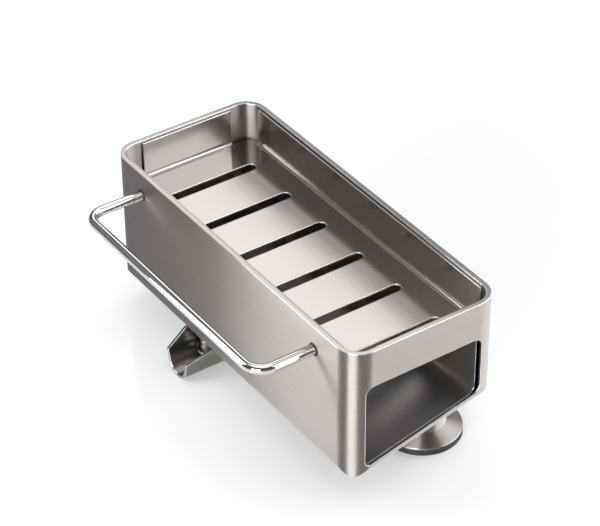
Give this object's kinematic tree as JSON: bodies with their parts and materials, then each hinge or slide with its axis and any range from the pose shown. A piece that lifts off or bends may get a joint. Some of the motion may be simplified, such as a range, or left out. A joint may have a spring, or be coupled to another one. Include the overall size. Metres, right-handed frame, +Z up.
{
  "type": "sink organizer",
  "caption": "Steel sink organizer: slotted lift-out tray in a deep open shell, sloped drip liner, swivel drain spout, side towel rail and round feet.",
  "frame": {"origin": "on the worktop, under the middle of the overall length and width, rail included", "axes": "+X along the shell towards the end with the window, -Y towards the towel rail and the spout, +Z up"},
  "size_m": [0.2516, 0.1446, 0.112],
  "materials": {
    "shell_steel": "brushed",
    "tray_steel": "satin",
    "liner_steel": "satin",
    "spout_steel": "satin",
    "foot_steel": "satin",
    "polished_steel": "polished",
    "black_rubber": "matt"
  },
  "bodies": {
    "shell": {"outer_shell": "shell_steel", "tray_ledge_front": "shell_steel", "tray_ledge_back": "shell_steel", "drip_liner": "liner_steel", "towel_rail": "polished_steel", "rail_rings": "black_rubber", "rail_retainers": "polished_steel", "drain_tube": "spout_steel", "drain_washer": "black_rubber", "drain_nut": "polished_steel", "spout_clip": "polished_steel", "foot_studs": "polished_steel", "foot_post_right": "foot_steel", "foot_post_left": "foot_steel", "foot_base_right": "foot_steel", "foot_base_left": "foot_steel", "foot_pad_right": "black_rubber", "foot_pad_left": "black_rubber"},
    "tray": {"slotted_tray": "tray_steel"},
    "spout": {"drain_spout": "spout_steel"}
  },
  "joints": [
    {"name": "tray_lift", "type": "slide", "parent": "shell", "child": "tray", "axis": [0, 0, 1], "range_m": [0, 0.035]},
    {"name": "spout_swivel", "type": "hinge", "parent": "shell", "child": "spout", "pos_m": [-0.036, -0.0205, 0.016], "axis": [0, 0, 1], "range_deg": [-90, 90]}
  ]
}
